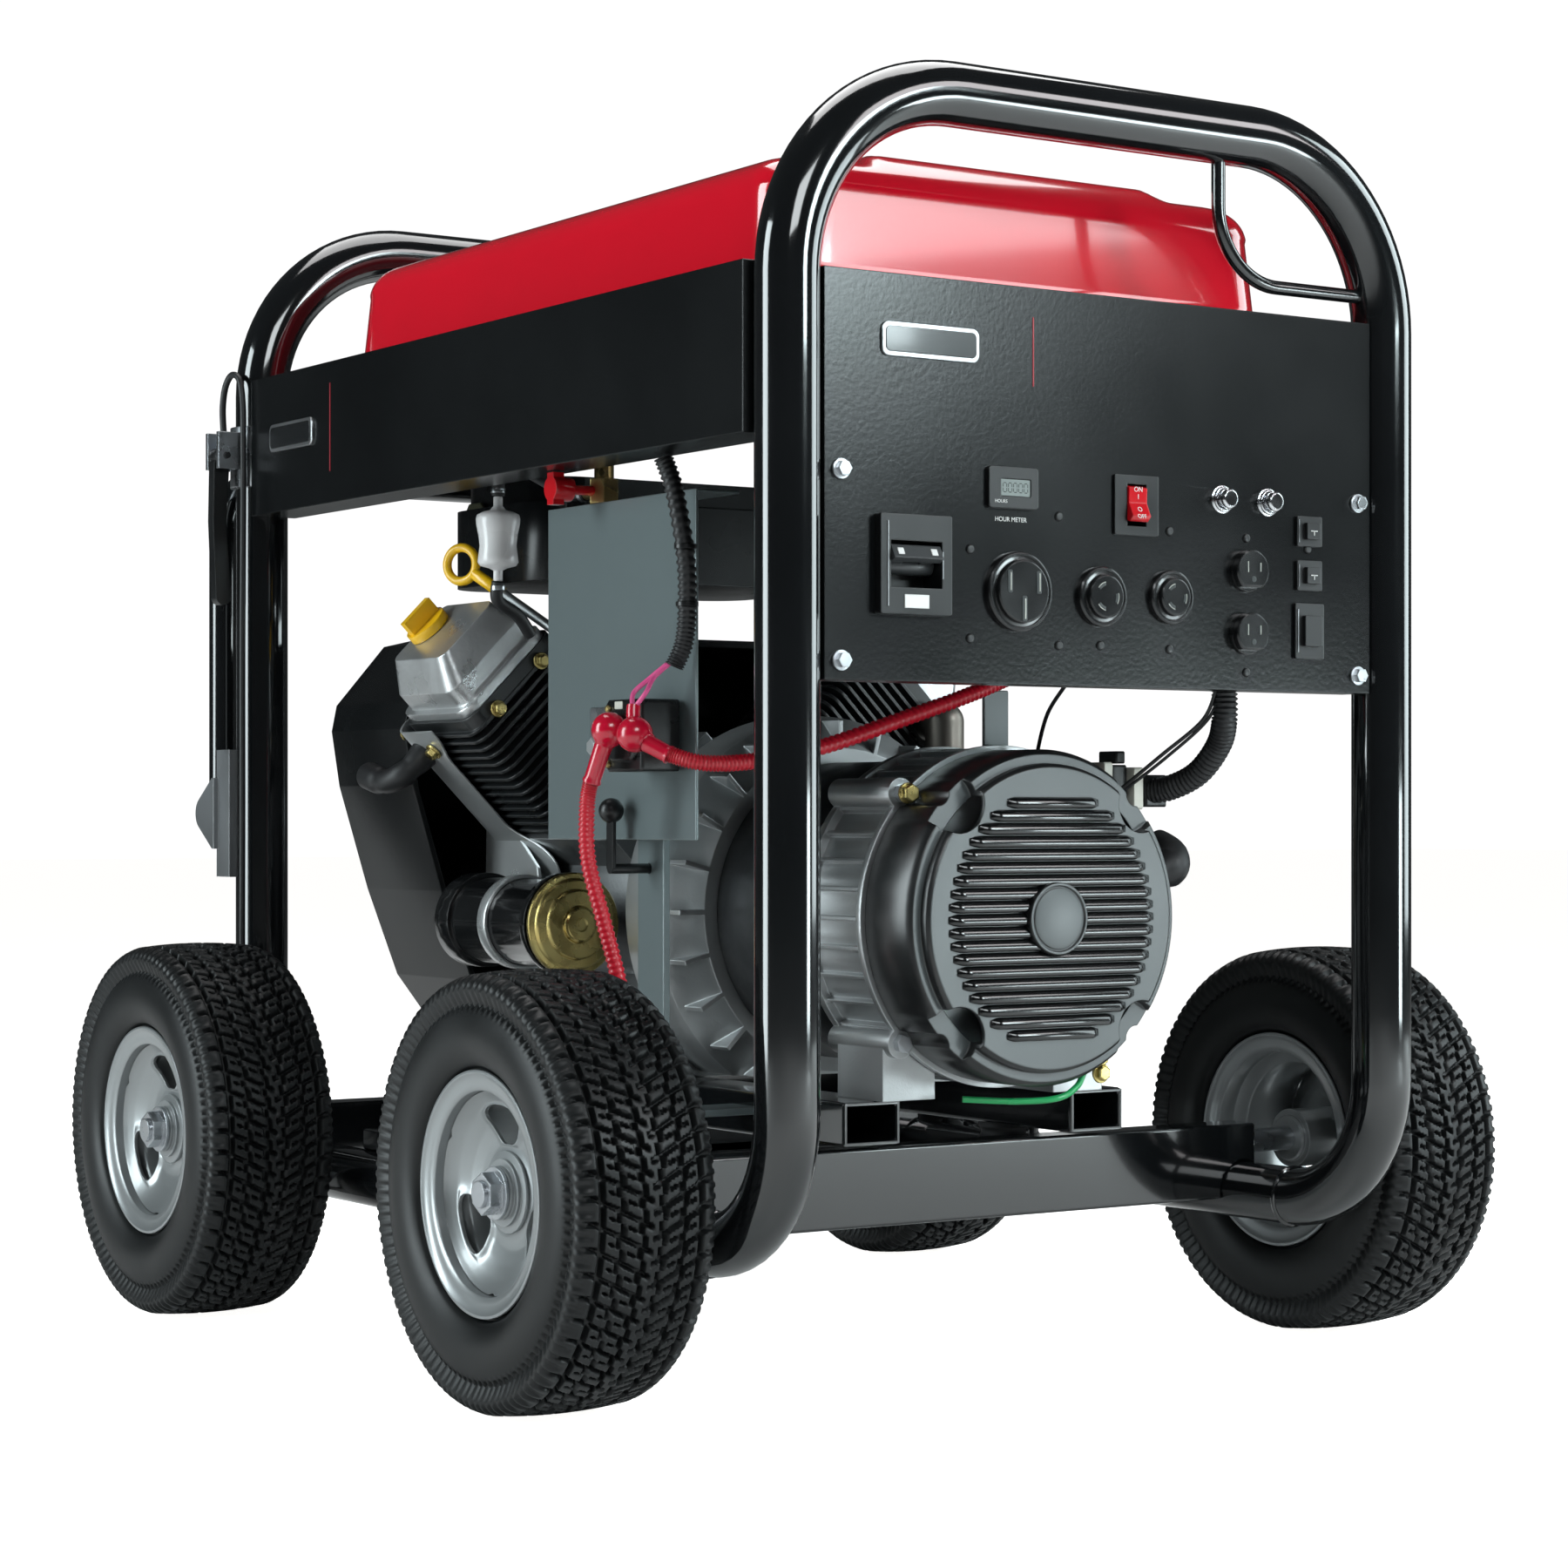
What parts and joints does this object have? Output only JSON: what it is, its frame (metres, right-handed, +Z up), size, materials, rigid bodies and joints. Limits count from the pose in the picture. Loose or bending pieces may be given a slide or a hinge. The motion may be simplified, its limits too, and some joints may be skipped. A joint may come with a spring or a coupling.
{
  "type": "portable generator",
  "caption": "Wheeled portable generator in a tube cradle: fuel tank over a V-twin engine and alternator, control panel in the front hoop, fold-down tow handle",
  "frame": {"origin": "on the ground under the middle of the whole machine's box", "axes": "-Y out of the control panel end, +Y to the engine's blower end, +X to the machine's muffler side, +Z up"},
  "size_m": [0.897, 0.992, 1.002],
  "materials": {
    "frame_black": "glossy powder coat",
    "tyre_rubber": "moulded rubber",
    "mount_rubber": "soft black rubber",
    "rim_paint": "silver enamel",
    "axle_steel": "turned bar",
    "zinc": "yellow zinc plate",
    "cast_grey": "die cast",
    "bright_zinc": "bright zinc plate",
    "panel_black": "textured powder coat",
    "black_plastic": "moulded nylon",
    "handle_grey": "moulded",
    "red_plastic": "moulded red",
    "red_rubber": "red cable jacket",
    "tank_red": "gloss enamel",
    "brass_valve": "satin",
    "filter_white": "milky nylon",
    "cast_alloy": "die cast",
    "stator_dark": "varnished laminations",
    "winding": "varnished copper",
    "muffler_steel": "heat-resistant grey",
    "starter_black": "satin",
    "plate_grey": "satin grey",
    "yellow_plastic": "moulded yellow"
  },
  "bodies": {
    "frame": {"front_hoop": "frame_black", "rear_hoop": "frame_black", "side_rails": "frame_black", "front_axle_beam": "frame_black", "rear_axle_beam": "frame_black", "cross_members": "frame_black", "engine_skids": "frame_black", "isolators": "mount_rubber", "axles": "axle_steel", "hook_rod": "frame_black", "handle_brackets": "cast_grey", "brake_perch": "bright_zinc", "brake_cable": "mount_rubber", "fasteners": "zinc", "control_panel": "panel_black", "panel_box": "panel_black", "side_panels": "panel_black", "panel_bezels": "black_plastic", "button_collars": "bright_zinc", "breakers": "black_plastic", "outlets": "black_plastic", "tank": "tank_red", "fuel_valve": "brass_valve", "fuel_filter": "filter_white", "hoses": "mount_rubber", "battery_cable": "red_rubber", "alternator_cover": "panel_black", "end_bell": "cast_alloy", "stator": "stator_dark", "adapter_bell": "cast_alloy", "crankcase": "cast_grey", "cylinders": "cast_grey", "rocker_covers": "cast_alloy", "blower_housing": "panel_black", "air_cleaner": "black_plastic", "muffler": "muffler_steel", "starter": "starter_black", "solenoid": "black_plastic", "shield_plate": "plate_grey"},
    "wheel_front_left": {"tyre_fl": "tyre_rubber", "rim_fl": "rim_paint"},
    "wheel_front_right": {"tyre_fr": "tyre_rubber", "rim_fr": "rim_paint"},
    "wheel_rear_left": {"tyre_rl": "tyre_rubber", "rim_rl": "rim_paint"},
    "wheel_rear_right": {"tyre_rr": "tyre_rubber", "rim_rr": "rim_paint"},
    "tow_handle": {"tow_handle": "frame_black"},
    "brake_lever": {"brake_lever": "black_plastic"},
    "power_rocker": {"power_rocker": "red_plastic"},
    "breaker_handle": {"breaker_handle": "handle_grey"},
    "reset_button_a": {"reset_button_a": "bright_zinc"},
    "reset_button_b": {"reset_button_b": "bright_zinc"},
    "fuel_cap": {"fuel_cap": "black_plastic"},
    "fuel_knob": {"fuel_knob": "red_plastic"},
    "choke_lever": {"choke_lever": "black_plastic"},
    "dipstick": {"dipstick": "yellow_plastic"},
    "oil_cap": {"oil_cap": "yellow_plastic"},
    "crank_train": {"rotor": "winding", "flywheel": "stator_dark"}
  },
  "joints": [
    {"name": "front_left_wheel", "type": "hinge", "parent": "frame", "child": "wheel_front_left", "pos_m": [-0.3885, -0.288, 0.165], "axis": [1, 0, 0], "continuous": true},
    {"name": "front_right_wheel", "type": "hinge", "parent": "frame", "child": "wheel_front_right", "pos_m": [0.3885, -0.288, 0.165], "axis": [1, 0, 0], "continuous": true},
    {"name": "rear_left_wheel", "type": "hinge", "parent": "frame", "child": "wheel_rear_left", "pos_m": [-0.3885, 0.331, 0.165], "axis": [1, 0, 0], "continuous": true},
    {"name": "rear_right_wheel", "type": "hinge", "parent": "frame", "child": "wheel_rear_right", "pos_m": [0.3885, 0.331, 0.165], "axis": [1, 0, 0], "continuous": true},
    {"name": "tow_handle_fold", "type": "hinge", "parent": "frame", "child": "tow_handle", "pos_m": [0, 0.462, 0.446], "axis": [-1, 0, 0], "range_deg": [0, 90]},
    {"name": "brake_lever_release", "type": "hinge", "parent": "frame", "child": "brake_lever", "pos_m": [-0.331, 0.412, 0.776], "axis": [0, 1, 0], "range_deg": [0, 25]},
    {"name": "power_rocker_tilt", "type": "hinge", "parent": "frame", "child": "power_rocker", "pos_m": [0.022, -0.48, 0.681], "axis": [1, 0, 0], "range_deg": [0, 24]},
    {"name": "breaker_throw", "type": "hinge", "parent": "frame", "child": "breaker_handle", "pos_m": [-0.189, -0.476, 0.627], "axis": [1, 0, 0], "range_deg": [0, 56]},
    {"name": "reset_a_press", "type": "slide", "parent": "frame", "child": "reset_button_a", "axis": [0, 1, 0], "range_m": [0, 0.003], "stiffness_N_per_m": 400},
    {"name": "reset_b_press", "type": "slide", "parent": "frame", "child": "reset_button_b", "axis": [0, 1, 0], "range_m": [0, 0.003], "stiffness_N_per_m": 400},
    {"name": "fuel_cap_turn", "type": "hinge", "parent": "frame", "child": "fuel_cap", "pos_m": [0, 0.025, 0.96], "axis": [0, 0, 1], "range_deg": [0, 120]},
    {"name": "fuel_knob_turn", "type": "hinge", "parent": "frame", "child": "fuel_knob", "pos_m": [-0.238, -0.128, 0.706], "axis": [1, 0, 0], "range_deg": [0, 90]},
    {"name": "choke_swing", "type": "hinge", "parent": "frame", "child": "choke_lever", "pos_m": [-0.262, -0.184, 0.402], "axis": [1, 0, 0], "range_deg": [0, 30]},
    {"name": "dipstick_draw", "type": "slide", "parent": "frame", "child": "dipstick", "axis": [-0.4168, 0.7343, 0.5358], "range_m": [0, 0.085]},
    {"name": "oil_cap_turn", "type": "hinge", "parent": "frame", "child": "oil_cap", "pos_m": [-0.23334, 0.181, 0.60866], "axis": [-0.7071, 0, 0.7071], "range_deg": [0, 120]},
    {"name": "crank_spin", "type": "hinge", "parent": "frame", "child": "crank_train", "pos_m": [0, -0.03, 0.364], "axis": [0, 1, 0], "continuous": true}
  ]
}
